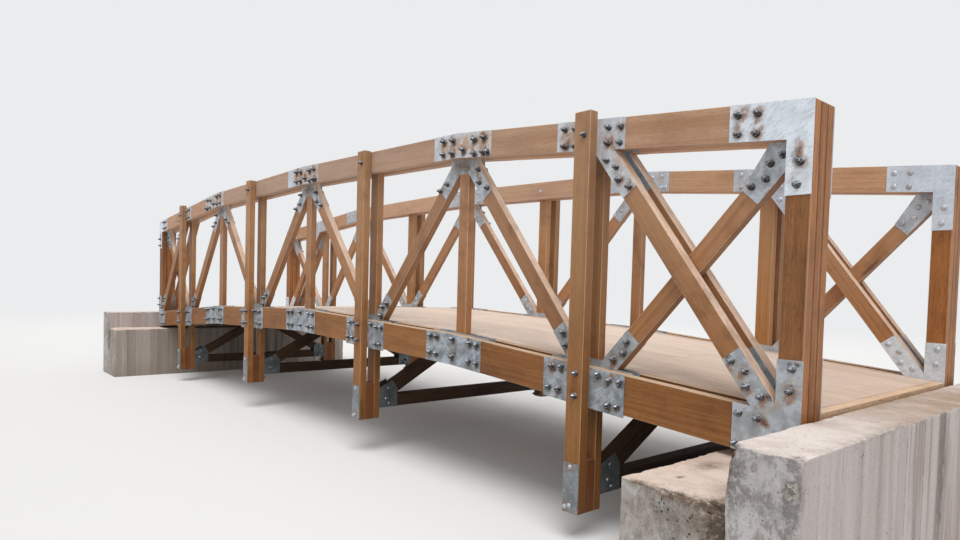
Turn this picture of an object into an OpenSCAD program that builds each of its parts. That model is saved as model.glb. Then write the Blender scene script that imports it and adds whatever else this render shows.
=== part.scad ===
// Cambered timber footbridge, two bolted trusses with a plank deck between them,
// standing on a concrete seat and back wall at each end. Millimetres, Z up.
// X runs along the bridge from mid span, Y across it, Z = 0 is the ground under the abutments.

/* [Overall] */
// Mid span to the outer face of an end post
half_len = 4240; // [4200:10:4280]
// Mid span to the centre of the two inner posts
inner_post_x = 1060; // [1040:5:1080]
// Mid span to the centre of the two outer posts
outer_post_x = 3160; // [3140:5:3180]
// Clear width between the two trusses
clear_w = 1620; // [1500:10:1800]
// Ground to the top of the bottom chord at the bridge ends
deck_level = 800; // [780:10:900]
// Top of the bottom chord to the top of the top chord, at the ends
rail_h = 1200; // [1180:10:1220]
// Rise of the bottom chord at its quarter and middle splices
bottom_rise = [161, 226];
// Rise of the top chord at its quarter and middle splices
top_rise = [195, 238];

/* [Timber] */
// Depth of the bottom chord
bottom_chord_h = 190; // [180:5:200]
// Depth of the top chord
top_chord_h = 150; // [140:5:160]
// Thickness of one chord ply, and of each of the paired braces
ply_t = 58; // [45:1:65]
// Thickness of the middle layer: web diagonals, centre posts
core_t = 50; // [40:1:60]
// Opening left between two chord pieces at a splice
splice_gap = 2; // [1:0.5:4]
// Width of the web diagonals and braces
web_w = 93; // [85:1:95]
// Width of the upright under each apex
mid_post_w = 90; // [80:1:95]
// Width of the four hanging posts
post_w = 100; // [90:1:105]
// Width of the end posts
end_post_w = 100; // [95:1:105]
// Eased edge of the three boards that make an end post
arris = 5; // [1:1:6]
// Thickness of the outer layer of a hanging post
outer_post_t = 55; // [45:1:65]
// Outer layer of the outer and of the inner posts above the top chord
post_over = [33, 4];
// Length of a post tail below the bottom chord
tail_drop = 545; // [480:5:560]
// Height of the block between the two layers of a tail
spacer_h = 265; // [240:5:300]
// Centre post top below the top of the top chord
core_top_gap = 6; // [2:1:15]
// Web node below the middle of the top chord
apex_drop = 37; // [30:1:45]
// Single end brace: its top and its foot node below the middle of the chords
brace_drop = [18, 30];
// Paired end brace: top node outward from the post centre
pair_top_x = 27; // [20:1:35]
// Paired end brace: foot node inward from the end of the truss
pair_foot_x = 57; // [50:1:70]

/* [Steel plates] */
// Thickness of every flat plate
plate_t = 4; // [3:0.5:5]
// Half lengths: bottom splices, plates at the posts, middle top splice, tops of the outer posts
plate_half = [271, 262, 285, 215];
// Quarter top splices: reach toward mid span and toward the end
top_splice = [230, 315];
// Plates at the posts below the bottom chord
plate_drop = 12; // [0:1:20]
// Lengths of the top and bottom corner plates along the chord
corner_len = [338, 275];
// Lowest point of the top corner plate's leg, and highest point of the bottom one's leg
corner_leg = [356, 215];
// Legs on the web members: at the foot, at an apex toward mid span, at an apex toward the end
web_leg = [355, 320, 355];
// Legs on the single end brace: at its foot and at its top
brace_leg = [385, 332];
// Legs on the paired end brace: at its foot and at its top
pair_leg = [392, 375];
// Heel gusset above the chord between its legs and outside them
heel_rise = [36, 7];
// Apex gusset: half width in the chord, depth below the chord at its notch, distance from the top
apex_plate = [130, 90, 10];
// Width of the end brace's top gusset where it enters the top chord
crown_w = 95; // [80:5:150]
// Height of the tail plate
tail_plate_h = 250; // [200:5:265]
// Half width of the packing behind an inner post at the top chord
packer_half = 40; // [30:1:45]

/* [Deck] */
// Thickness of the deck planks
deck_t = 38; // [30:1:45]
// Gap from the deck edge to the truss
deck_side_gap = 10; // [6:1:20]
// Butt joint between two deck bays
deck_joint = 2; // [1:0.5:4]
// Width of the cross board at each end of the deck
end_board_w = 45; // [40:1:60]
// Floor beam at each post: width and depth
beam = [92, 140];
// Joist: width and depth
joist = [50, 110];
// Joists that meet bare chord, from mid span
joist_x = [530, 1585, 2635, 3675];
// End joist centre, inward from the end
end_joist_in = 40; // [30:1:60]

/* [Sway frames] */
// Tie between two tails: depth, and height above the bottom of the tails
tie = [90, 75];
// Sway brace: depth, slope, and node below the top of the tie
sway = [85, 0.55, 19];
// Bracket: reach along the tie, rise above the tie at its end, top and foot
bracket = [154, 45, 110, 60];
// Peak of the bracket inward from its end
bracket_peak = 45; // [35:1:60]

/* [Abutments] */
// Wall end beyond the outer face of the truss
wall_over = 610; // [400:10:800]
// Space from the end posts to the back wall
end_gap = 35; // [20:1:50]
// Thickness of the back wall
wall_t = 240; // [150:5:280]
// Top of the back wall below the deck level
wall_drop = 7; // [0:1:20]
// Seat from the end of the truss inward
seat_in = 365; // [320:5:450]
// Bearing pad: thickness and overhang past the end post
pad = [15, 6];

/* [Hidden] */
m = (inner_post_x + outer_post_x) / 2;
apexes = [-m, 0, m];
posts = [-outer_post_x, -inner_post_x, inner_post_x, outer_post_x];
truss_t = 2 * ply_t + 2 * plate_t + core_t;
half_w = clear_w / 2 + truss_t;
core_y = ply_t + plate_t;
ply2_y = core_y + core_t + plate_t;
post_in = half_len - end_post_w;
low = [[0, bottom_rise[1]], [m, bottom_rise[0]], [half_len, 0]];
high = [[0, rail_h + top_rise[1]], [m, rail_h + top_rise[0]], [half_len, rail_h]];
plate_ys = [-plate_t, truss_t];
gap_ys = [ply_t, core_y + core_t];
g = splice_gap / 2;
segments = [[-post_in, -m - g], [-m + g, -g], [g, m - g], [m + g, post_in]];
foot_drop = bottom_chord_h / 2;
apex_down = top_chord_h / 2 + apex_drop;
seat_top = deck_level - bottom_chord_h - pad[0];

// Height of a chord line at x
function up(line, x) = deck_level + lookup(abs(x), line);
// Direction of a chord line at x
function run(line, x) = [1, up(line, x + 1) - up(line, x)];
// Outline between two offsets from a chord line
function band(line, xs, a, b) = concat(
    [for (x = xs) [x, up(line, x) + a]],
    [for (i = [len(xs) - 1 : -1 : 0]) [xs[i], up(line, xs[i]) + b]]);
// Where the line through p along d meets the line through q along e
function meet(p, d, q, e) = p + d * cross(q - p, e) / cross(d, e);
function side(p, q, w) = [p[1] - q[1], q[0] - p[0]] / norm(q - p) * w / 2;
// Straight member from p to q, its ends cut along the lines [c, d]
function member(p, q, w, c1, c2) = let (n = side(p, q, w), d = q - p) [
    meet(p + n, d, c1[0], c1[1]), meet(q + n, d, c2[0], c2[1]),
    meet(q - n, d, c2[0], c2[1]), meet(p - n, d, c1[0], c1[1])];
// End corners of a plate leg that starts at p and runs toward q
function leg(p, q, w, l) = let (n = side(p, q, w), e = p + (q - p) / norm(q - p) * l) [e + n, e - n];

function foot(x) = [x, up(low, x) - foot_drop];
function apex(x) = [x, up(high, x) - apex_down];
function brace_foot(s) = foot(s * outer_post_x) - [0, brace_drop[1]];
function brace_top(s) = [s * (half_len - end_post_w / 2), up(high, half_len) - top_chord_h / 2 - brace_drop[0]];
function pair_foot(s) = [s * (half_len - pair_foot_x), deck_level - foot_drop];
function pair_top(s) = [s * (outer_post_x + pair_top_x), up(high, outer_post_x) - top_chord_h / 2];
// X of the upright that the web member on side s of the post at x leans to
function lean_x(x, s) = abs(x) < m && x * s < 0 ? 0 : sign(x) * m;
// X of the post that the web member on side s of the upright at x stands on
function stand_x(x, s) = x == 0 ? s * inner_post_x : x * s > 0 ? s * outer_post_x : -s * inner_post_x;
// Node that the web leg at post x points to, on side s of the post
function web_end(x, s) = abs(x + s) > outer_post_x ? brace_top(s) : apex(lean_x(x, s));
function web_start(x, s) = abs(x + s) > outer_post_x ? brace_foot(s) : foot(x);
function tail_z(x) = up(low, x) - bottom_chord_h - tail_drop;

// Outline in the XZ plane given a thickness from y
module layer(y, t, pts) {
    translate([0, y + t, 0]) rotate([90, 0, 0]) linear_extrude(t) polygon(pts);
}
// Outline in the YZ plane given a thickness from x
module cross_layer(x, t, pts) {
    translate([x, 0, 0]) rotate([90, 0, 90]) linear_extrude(t) polygon(pts);
}
module box(x, y, z) {
    translate([x[0], y[0], z[0]]) cube([x[1] - x[0], y[1] - y[0], z[1] - z[0]]);
}
// The near truss stands at -Y; the far one is its mirror image
module near() { translate([0, -half_w, 0]) children(); }
module far() { mirror([0, 1, 0]) near() children(); }

module chord(line, h) {
    for (y = [0, ply2_y], s = segments) layer(y, ply_t, band(line, s, 0, -h));
}
module bottom_chord() { color("peru") chord(low, bottom_chord_h); }
module top_chord() { color("peru") chord(high, top_chord_h); }
// One upright board of an end post, its four long edges eased
module end_board(s, y, t) {
    c = [s * (half_len - end_post_w / 2), y + t / 2];
    u = [end_post_w, t] / 2;
    v = u - [arris, arris];
    translate([0, 0, deck_level - bottom_chord_h]) linear_extrude(bottom_chord_h + rail_h)
        translate(c) polygon([[v[0], u[1]], [u[0], v[1]], [u[0], -v[1]], [v[0], -u[1]],
                              [-v[0], -u[1]], [-u[0], -v[1]], [-u[0], v[1]], [-v[0], u[1]]]);
}
module end_posts() {
    color("peru") for (s = [-1, 1], y = [0, ply2_y]) end_board(s, y, ply_t);
}
module end_post_cores() {
    color("peru") for (s = [-1, 1]) end_board(s, ply_t, ply2_y - ply_t);
}
module outer_posts() {
    color("chocolate") for (x = posts)
        box([x - post_w / 2, x + post_w / 2], [-plate_t - outer_post_t, -plate_t],
            [tail_z(x), up(high, x) + post_over[abs(x) < m ? 1 : 0]]);
}
module centre_posts() {
    color("peru") for (x = posts)
        box([x - post_w / 2, x + post_w / 2], [core_y, core_y + core_t],
            [tail_z(x), up(high, x) - core_top_gap]);
}
module mid_posts() {
    color("peru") for (x = apexes)
        box([x - mid_post_w / 2, x + mid_post_w / 2], [core_y, core_y + core_t],
            [up(low, x) - bottom_chord_h, up(high, x) - apex_plate[2]]);
}
module tail_spacers() {
    color("sienna") for (x = posts)
        box([x - post_w / 2, x + post_w / 2], [-plate_t, core_y], [tail_z(x), tail_z(x) + spacer_h]);
}
module web_diagonals() {
    color("peru") for (x = posts, s = [-1, 1]) if (abs(x + s) < outer_post_x)
        layer(core_y, core_t, member(foot(x), web_end(x, s), web_w,
            [[x + s * post_w / 2, 0], [0, 1]],
            [[lean_x(x, s) - s * mid_post_w / 2, 0], [0, 1]]));
}
module end_braces() {
    color("peru") for (s = [-1, 1])
        layer(core_y, core_t, member(brace_foot(s), brace_top(s), web_w,
            [[s * (outer_post_x + post_w / 2), 0], [0, 1]], [[s * post_in, 0], [0, 1]]));
}
// Paired brace: cut along the top chord, its foot fitted into the corner of chord and end post
function paired(s) = let (
    p = pair_foot(s), q = pair_top(s), n = side(p, q, web_w), d = q - p,
    c = [s * post_in, up(low, post_in)],
    t = [s * outer_post_x, up(high, outer_post_x) - top_chord_h], e = run(high, s * outer_post_x)) [
    meet(p - s * n, d, c, [0, 1]), c, meet(p + s * n, d, c, run(low, s * (post_in - 9))),
    meet(p + s * n, d, t, e), meet(p - s * n, d, t, e)];
module paired_braces() {
    color("peru") for (s = [-1, 1], y = [0, ply2_y]) layer(y, ply_t, paired(s));
}

module bottom_plates() {
    color("silver") for (y = plate_ys) {
        for (x = apexes)
            layer(y, plate_t, band(low, [x - plate_half[0], x, x + plate_half[0]], 0, -bottom_chord_h));
        for (x = posts) layer(y, plate_t,
            band(low, [x - plate_half[1], x + plate_half[1]], 0, -bottom_chord_h - plate_drop));
    }
}
// Plate at the top of an outer post, with a leg down the paired brace
function post_top_plate(s) = let (
    p = pair_top(s), q = pair_foot(s), l = leg(p, q, web_w, pair_leg[1]), n = side(p, q, web_w),
    c = [s * outer_post_x, up(high, outer_post_x) - top_chord_h], d = run(high, s * outer_post_x),
    a = s * (outer_post_x - plate_half[3]), b = s * (outer_post_x + plate_half[3])) [
    [a, up(high, a)], [b, up(high, b)], [b, up(high, b) - top_chord_h],
    meet(p + s * n, q - p, c, d), s > 0 ? l[0] : l[1], s > 0 ? l[1] : l[0],
    meet(p - s * n, q - p, c, d), [a, up(high, a) - top_chord_h]];
module top_plates() {
    color("silver") for (y = plate_ys) {
        layer(y, plate_t, band(high, [-plate_half[2], 0, plate_half[2]], 0, -top_chord_h));
        for (s = [-1, 1]) {
            layer(y, plate_t, band(high, [s * (m - top_splice[0]), s * m, s * (m + top_splice[1])],
                0, -top_chord_h));
            layer(y, plate_t, post_top_plate(s));
        }
    }
}
// Top corner plate: chord arm and post arm
function top_corner(s) = [
    [s * half_len, up(high, half_len)],
    [s * (half_len - corner_len[0]), up(high, half_len - corner_len[0])],
    [s * (half_len - corner_len[0]), up(high, half_len - corner_len[0]) - top_chord_h],
    [s * post_in, up(high, post_in) - top_chord_h],
    [s * post_in, up(high, half_len) - corner_leg[0]],
    [s * half_len, up(high, half_len) - corner_leg[0]]];
// Bottom corner plate: chord arm, leg up the paired brace and, with arm, one up the post
function bottom_corner(s, end) = let (
    p = pair_foot(s), q = pair_top(s), l = leg(p, q, web_w, pair_leg[0]), n = side(p, q, web_w),
    c = [s * post_in, up(low, post_in)], d = run(low, s * (post_in - 9)),
    a = s * (half_len - corner_len[1])) concat(
    [[s * end, deck_level - bottom_chord_h], [a, up(low, a) - bottom_chord_h], [a, up(low, a)],
     meet(p + s * n, q - p, c, d), s > 0 ? l[0] : l[1], s > 0 ? l[1] : l[0],
     meet(p - s * n, q - p, c, [0, 1])],
    end > post_in ? [for (x = [post_in, end]) [s * x, deck_level + corner_leg[1]]] : []);
module corner_plates() {
    color("silver") for (y = plate_ys, s = [-1, 1]) {
        layer(y, plate_t, top_corner(s));
        layer(y, plate_t, bottom_corner(s, half_len));
    }
}
// One half of a heel gusset, on side s of the post at x, from the bottom to the top
function heel_half(x, s) = let (
    p = web_start(x, s), q = web_end(x, s), n = side(p, q, web_w),
    l = leg(p, q, web_w, abs(x + s) > outer_post_x ? brace_leg[0] : web_leg[0]),
    c = [x, up(low, x)], d = run(low, x),
    e = x + s * plate_half[1]) [
    [e, up(low, e) - bottom_chord_h], [e, up(low, e) + heel_rise[1]],
    meet(p - s * n, q - p, c + [0, heel_rise[1]], d), s > 0 ? l[1] : l[0], s > 0 ? l[0] : l[1],
    meet(p + s * n, q - p, c + [0, heel_rise[0]], d)];
module heel_gussets() {
    color("lightgray") for (y = gap_ys, x = posts) {
        a = heel_half(x, 1);
        b = heel_half(x, -1);
        layer(y, plate_t, concat(a, [for (i = [len(b) - 1 : -1 : 0]) b[i]]));
    }
}
// One half of an apex gusset, on side s of the upright at x, from the top to its notch
function apex_half(x, s) = let (
    p = apex(x), q = foot(stand_x(x, s)), n = side(p, q, web_w),
    l = leg(p, q, web_w, web_leg[x * s > 0 ? 2 : 1]), e = x + s * apex_plate[0]) [
    [e, up(high, e) - apex_plate[2]], meet(p + s * n, q - p, [e, 0], [0, 1]),
    s > 0 ? l[0] : l[1], s > 0 ? l[1] : l[0],
    meet(p - s * n, q - p, [x, up(high, x) - top_chord_h - apex_plate[1]], [1, 0])];
module apex_gussets() {
    color("lightgray") for (y = gap_ys, x = apexes) {
        a = apex_half(x, 1);
        b = apex_half(x, -1);
        layer(y, plate_t, concat([[x, up(high, x) - apex_plate[2]]], a,
            [for (i = [len(b) - 1 : -1 : 0]) b[i]]));
    }
}
// Gusset at the top of the single end brace, its upper part hidden in the top chord
function crown(s) = let (
    p = brace_top(s), q = brace_foot(s), l = leg(p, q, web_w, brace_leg[1]), n = side(p, q, web_w),
    a = post_in - crown_w) [
    [s * post_in, up(high, post_in) - apex_plate[2]],
    [s * a, up(high, a) - apex_plate[2]],
    [s * a, up(high, a) - top_chord_h],
    s > 0 ? l[1] : l[0], s > 0 ? l[0] : l[1],
    meet(p + s * n, q - p, [s * post_in, 0], [0, 1])];
module inner_plates() {
    color("lightgray") {
        for (y = gap_ys) {
            for (x = apexes) layer(y, plate_t,
                band(low, [x - plate_half[0], x, x + plate_half[0]], heel_rise[1], -bottom_chord_h));
            for (s = [-1, 1]) {
                layer(y, plate_t, post_top_plate(s));
                layer(y, plate_t, bottom_corner(s, post_in));
                layer(y, plate_t, crown(s));
            }
        }
        for (y = concat(gap_ys, [-plate_t]), s = [-1, 1]) let (x = s * inner_post_x)
            layer(y, plate_t, band(high, [x - packer_half, x + packer_half], -core_top_gap, -top_chord_h));
    }
}
module tail_plates() {
    color("silver") for (x = posts)
        box([x - post_w / 2, x + post_w / 2], [-2 * plate_t - outer_post_t, -plate_t - outer_post_t],
            [tail_z(x), tail_z(x) + tail_plate_h]);
}

module across(xs, half, a, b) { layer(-half, 2 * half, band(low, xs, a, b)); }
module deck_bays() {
    half = clear_w / 2 - deck_side_gap;
    e = half_len - end_board_w - deck_joint;
    j = deck_joint / 2;
    color("bisque") for (xs = [[-e, posts[0] - j], [posts[0] + j, -m, posts[1] - j],
                              [posts[1] + j, 0, posts[2] - j], [posts[2] + j, m, posts[3] - j],
                              [posts[3] + j, e]])
        across(xs, half, 0, -deck_t);
}
module end_boards() {
    color("bisque") for (s = [-1, 1]) let (a = half_len - end_board_w)
        across(s > 0 ? [a, half_len] : [-half_len, -a], clear_w / 2 - deck_side_gap, 0, -deck_t);
}
module floor_beams() {
    color("saddlebrown") for (x = posts)
        across([x - beam[0] / 2, x + beam[0] / 2], clear_w / 2 - plate_t, -deck_t, -deck_t - beam[1]);
}
module joists() {
    w = joist[0] / 2;
    e = half_len - end_joist_in;
    color("saddlebrown") {
        for (x = joist_x, s = [-1, 1])
            across([s * x - w, s * x + w], clear_w / 2, -deck_t, -deck_t - joist[1]);
        for (x = apexes) across([x - w, x, x + w], clear_w / 2 - plate_t, -deck_t, -deck_t - joist[1]);
        for (x = [-e, e]) across([x - w, x + w], clear_w / 2 - plate_t, -deck_t, -deck_t - joist[1]);
    }
}
tie_end = half_w - ply2_y;
module sway_ties() {
    color("saddlebrown") for (x = posts)
        box([x - beam[0] / 2, x + beam[0] / 2], [-tie_end, tie_end], [0, tie[0]] + (tail_z(x) + tie[1]) * [1, 1]);
}
module sway_braces() {
    color("saddlebrown") for (x = posts, s = [-1, 1]) {
        top = tail_z(x) + tie[1] + tie[0];
        p = [-tie_end, top - sway[2]];
        d = [1, sway[1]];
        n = side(p, p + d, sway[0]);
        under = min(up(low, x - beam[0] / 2), up(low, x + beam[0] / 2)) - deck_t - beam[1];
        pts = [[-tie_end, top], meet(p - n, d, [0, top], [1, 0]), meet(p - n, d, [0, under], [1, 0]),
               meet(p + n, d, [0, under], [1, 0]), meet(p + n, d, p, [0, 1])];
        cross_layer(x - beam[0] / 2, beam[0], [for (q = pts) [s * q[0], q[1]]]);
    }
}
module sway_brackets() {
    color("gray") for (x = posts, s = [-1, 1]) mirror([0, s < 0 ? 0 : 1, 0]) {
        bot = tail_z(x) + tie[1];
        top = bot + tie[0];
        out = -tie_end + bracket[0];
        box([x - post_w / 2, x + post_w / 2], [-tie_end - plate_t, -tie_end], [bot, top + bracket[3]]);
        for (c = [x - post_w / 2, x + beam[0] / 2])
            cross_layer(c, (post_w - beam[0]) / 2, [[-tie_end, bot], [out, bot], [out, top + bracket[1]],
                [out - bracket_peak, top + bracket[2]], [-tie_end, top + bracket[3]]]);
    }
}

module bearing_pads() {
    color("dimgray") for (s = [-1, 1], t = [-1, 1])
        box([s > 0 ? post_in - pad[1] : -half_len, s > 0 ? half_len : -post_in + pad[1]],
            [t > 0 ? clear_w / 2 : -half_w, t > 0 ? half_w : -clear_w / 2], [seat_top, seat_top + pad[0]]);
}
module abutment_seats() {
    color("darkgray") for (s = [-1, 1]) let (a = half_len - seat_in, b = half_len + end_gap)
        box([s > 0 ? a : -b, s > 0 ? b : -a], [-half_w - wall_over, half_w + wall_over], [0, seat_top]);
}
module abutment_walls() {
    color("lightgray") for (s = [-1, 1]) let (a = half_len + end_gap, b = a + wall_t)
        box([s > 0 ? a : -b, s > 0 ? b : -a], [-half_w - wall_over, half_w + wall_over],
            [0, deck_level - wall_drop]);
}

near() bottom_chord();  // near_bottom_chord
far() bottom_chord();  // far_bottom_chord
near() top_chord();  // near_top_chord
far() top_chord();  // far_top_chord
near() end_posts();  // near_end_posts
far() end_posts();  // far_end_posts
near() outer_posts();  // near_outer_posts
far() outer_posts();  // far_outer_posts
near() centre_posts();  // near_centre_posts
far() centre_posts();  // far_centre_posts
near() mid_posts();  // near_mid_posts
far() mid_posts();  // far_mid_posts
near() tail_spacers();  // near_tail_spacers
far() tail_spacers();  // far_tail_spacers
near() web_diagonals();  // near_web_diagonals
far() web_diagonals();  // far_web_diagonals
near() end_braces();  // near_end_braces
far() end_braces();  // far_end_braces
near() paired_braces();  // near_paired_braces
far() paired_braces();  // far_paired_braces
near() bottom_plates();  // near_bottom_plates
far() bottom_plates();  // far_bottom_plates
near() top_plates();  // near_top_plates
far() top_plates();  // far_top_plates
near() corner_plates();  // near_corner_plates
far() corner_plates();  // far_corner_plates
near() heel_gussets();  // near_heel_gussets
far() heel_gussets();  // far_heel_gussets
near() apex_gussets();  // near_apex_gussets
far() apex_gussets();  // far_apex_gussets
near() inner_plates();  // near_inner_plates
far() inner_plates();  // far_inner_plates
near() tail_plates();  // near_tail_plates
far() tail_plates();  // far_tail_plates
union() { near() end_post_cores(); far() end_post_cores(); }
deck_bays();
end_boards();
floor_beams();
joists();
sway_ties();
sway_braces();
sway_brackets();
bearing_pads();
abutment_seats();
abutment_walls();
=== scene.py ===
import bpy
import bmesh
import math
import random
import numpy as np
from types import SimpleNamespace
from mathutils import Matrix, Vector, noise


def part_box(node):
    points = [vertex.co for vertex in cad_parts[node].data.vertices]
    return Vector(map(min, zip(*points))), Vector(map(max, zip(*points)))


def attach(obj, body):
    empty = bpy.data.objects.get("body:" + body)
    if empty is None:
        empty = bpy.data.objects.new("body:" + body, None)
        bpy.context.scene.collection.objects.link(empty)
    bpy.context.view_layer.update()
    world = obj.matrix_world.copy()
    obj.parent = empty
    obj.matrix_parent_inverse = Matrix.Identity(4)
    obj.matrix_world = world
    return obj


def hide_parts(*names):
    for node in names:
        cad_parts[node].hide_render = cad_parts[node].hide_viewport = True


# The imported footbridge: X runs along it from mid span, the near truss stands at -Y,
# and the ground is Z = 0. Every piece below is in metres in that same frame.
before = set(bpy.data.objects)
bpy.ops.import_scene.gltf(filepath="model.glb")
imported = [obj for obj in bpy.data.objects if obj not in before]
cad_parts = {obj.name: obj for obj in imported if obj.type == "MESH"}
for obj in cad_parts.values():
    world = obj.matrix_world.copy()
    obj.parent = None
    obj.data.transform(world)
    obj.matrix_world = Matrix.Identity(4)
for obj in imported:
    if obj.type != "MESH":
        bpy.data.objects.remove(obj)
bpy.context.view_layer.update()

# Camera: eye height beside the near corner of the bridge, looking along the near truss.
# Its place and lens were solved from the corners of the steel plates in the picture, which
# shows a little more above the lens axis than below it: a small upward shift frames it so.
lens_px, picture_px = 664.419, 960


def place(made):
    """Puts an object in the scene."""
    bpy.context.scene.collection.objects.link(made)


eye = Vector((5.3323, -3.5421, 1.2683))
yaw, pitch, roll = (math.radians(a) for a in (-49.255, -2.139, 1.567))
ahead = Vector((math.sin(yaw) * math.cos(pitch), math.cos(yaw) * math.cos(pitch), math.sin(pitch)))
level = Vector((math.cos(yaw), -math.sin(yaw), 0))
over = level.cross(ahead)
right = math.cos(roll) * level + math.sin(roll) * over
upward = -math.sin(roll) * level + math.cos(roll) * over
camera = bpy.data.objects.new("bank_camera", bpy.data.cameras.new("bank_camera"))
camera.data.sensor_width = 36
camera.data.lens = lens_px / picture_px * camera.data.sensor_width
camera.data.shift_y = 0.0419
turn = Matrix((right, upward, -ahead)).transposed().to_4x4()
turn.translation = eye
camera.matrix_world = turn
place(camera)
bpy.context.scene.camera = camera
bpy.context.scene.view_settings.view_transform = "Standard"

# Floor and light: a pale matt studio floor under the abutments, an even sky and one wide
# soft lamp from above the near corner, as on a bright overcast day.
backdrop = (0.83, 0.84, 0.85, 1)


def join(made, ins):
    """Sets a node's inputs to numbers, or joins them to other nodes' outputs."""
    for key, value in ins.items():
        value = value.socket if isinstance(value, Flow) else value
        if isinstance(value, bpy.types.NodeSocket):
            made.id_data.links.new(value, made.inputs[key])
        else:
            made.inputs[key].default_value = value


def node(tree, kind, ins=None, **props):
    """A shader node with its settings and its inputs."""
    made = tree.nodes.new("ShaderNode" + kind)
    for key, value in props.items():
        setattr(made, key, value)
    join(made, ins or {})
    return made


def pick(tree, kind, ins=None, output=0, **props):
    """One output of a new shader node, as a value to go on with."""
    return Flow(node(tree, kind, ins, **props).outputs[output])


def calc(what, a, b=0.0):
    """One arithmetic step between values of a shader."""
    return pick((a if isinstance(a, Flow) else b).tree, "Math", {0: a, 1: b}, operation=what)


class Flow:
    """A value on its way through a shader. It adds and multiplies as a number does."""

    def __init__(self, socket):
        self.socket, self.tree = socket, socket.id_data

    def __add__(self, other):
        return calc("ADD", self, other)

    def __sub__(self, other):
        return calc("SUBTRACT", self, other)

    def __rsub__(self, other):
        return calc("SUBTRACT", other, self)

    def __mul__(self, other):
        return calc("MULTIPLY", self, other)

    def __abs__(self):
        return calc("ABSOLUTE", self)

    def limited(self):
        """The same value, held between 0 and 1."""
        self.socket.node.use_clamp = True
        return self

    def step(self, low, high, most=1.0, least=0.0):
        """A smooth step from least to most, while this value goes from low to high."""
        return pick(self.tree, "MapRange", {"Value": self, "From Min": low, "From Max": high, "To Min": least,
                    "To Max": most}, interpolation_type="SMOOTHSTEP")

    def times(self, by):
        """A vector or colour with each of its three parts scaled."""
        return pick(self.tree, "VectorMath", {0: self, 1: by}, operation="MULTIPLY")

    def parts(self):
        """The three numbers of a vector."""
        return [Flow(s) for s in node(self.tree, "SeparateXYZ", {0: self}).outputs]

    def cloud(self, scale, detail=3.0, rough=0.55):
        """A soft noise from 0 to 1 at this place. The scale is one number, or one for each axis."""
        at, scale = (self.times(scale), 1.0) if isinstance(scale, tuple) else (self, scale)
        return pick(self.tree, "TexNoise", {"Vector": at, "Scale": scale, "Detail": detail,
                    "Roughness": rough}, "Fac")

    def cells(self, scale):
        """How far this place is from the nearest of many scattered points."""
        return pick(self.tree, "TexVoronoi", {"Vector": self, "Scale": scale}, "Distance")


def blank(name):
    """An empty material, and its node tree."""
    made = bpy.data.materials.new(name)
    made.use_nodes = True
    made.node_tree.nodes.clear()
    return made, made.node_tree


def direct(tree):
    """1 where a ray comes from the eye, through glass or off a mirror, and should see the backdrop."""
    camera_ray, clear_ray, mirror_ray = (pick(tree, "LightPath", output="Is %s Ray" % kind)
                                         for kind in ("Camera", "Transmission", "Glossy"))
    return calc("MAXIMUM", calc("MAXIMUM", camera_ray, clear_ray), mirror_ray)


def mixed(tree, share, a, b, end):
    """Ends a tree with a mix of two shaders."""
    both = node(tree, "MixShader", {0: share, 1: a.outputs[0], 2: b.outputs[0]})
    node(tree, end, {"Surface": both.outputs[0]})


sky = bpy.data.worlds.new("overcast")
sky.use_nodes = True
tree = sky.node_tree
tree.nodes.clear()
mixed(tree, direct(tree), node(tree, "Background", {"Color": (1, 0.995, 0.985, 1), "Strength": 0.62}),
      node(tree, "Background", {"Color": backdrop, "Strength": 1.0}), "OutputWorld")
bpy.context.scene.world = sky

lamp = bpy.data.objects.new("high_lamp", bpy.data.lights.new("high_lamp", "SUN"))
lamp.data.energy = 1.75
lamp.data.angle = math.radians(38)
lamp.data.color = (1, 0.985, 0.96)
lamp.rotation_euler = Vector((0.37, -0.36, 1.0)).to_track_quat("Z", "Y").to_euler()
place(lamp)

floor_mat, tree = blank("studio_floor")
reach = pick(tree, "VectorMath", {0: pick(tree, "TexCoord", output="Object")}, "Value", operation="LENGTH")
mixed(tree, reach.step(9.0, 24.0) * direct(tree),
      node(tree, "BsdfDiffuse", {"Color": (0.78, 0.785, 0.79, 1), "Roughness": 1.0}),
      node(tree, "Emission", {"Color": backdrop, "Strength": 1.0}), "OutputMaterial")
ring = [(90 * math.cos(a), 90 * math.sin(a), 0) for a in np.linspace(0, 2 * math.pi, 65)[:-1]]
floor_mesh = bpy.data.meshes.new("studio_floor")
floor_mesh.from_pydata(ring, [], [list(range(64))])
floor_mesh.materials.append(floor_mat)
studio_floor = bpy.data.objects.new("studio_floor", floor_mesh)
place(studio_floor)

# Abutments: at each end a low seat block and a back wall of cast concrete. The long faces keep
# the marks of upright form boards of uneven width; arrises are worn, the corners show coarse
# patches where the mix was poor, and rain and soil have stained the tops and the seat's ends.


def group(name, **ins):
    """A shader node group with its named inputs, and those inputs."""
    made = bpy.data.node_groups.new(name, "ShaderNodeTree")
    for label, value in ins.items():
        made.interface.new_socket(label, in_out="INPUT", socket_type="NodeSocketFloat").default_value = value
    given = made.nodes.new("NodeGroupInput")
    return made, SimpleNamespace(**{label: Flow(given.outputs[label]) for label in ins})


def give(made, **outs):
    """The named outputs of a shader node group."""
    for label in outs:
        made.interface.new_socket(label, in_out="OUTPUT", socket_type="NodeSocketFloat")
    join(made.nodes.new("NodeGroupOutput"), outs)


def use(tree, made, **ins):
    """One use of a node group in a material, with this material's own values."""
    placed = tree.nodes.new("ShaderNodeGroup")
    placed.node_tree = made
    join(placed, ins)
    return SimpleNamespace(**{s.name: Flow(s) for s in placed.outputs})


def where(tree):
    """The place of a point of the surface."""
    return pick(tree, "NewGeometry", output="Position")


def faced(tree):
    """The way the surface faces at a point, in its three parts."""
    return pick(tree, "NewGeometry", output="Normal").parts()


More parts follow.
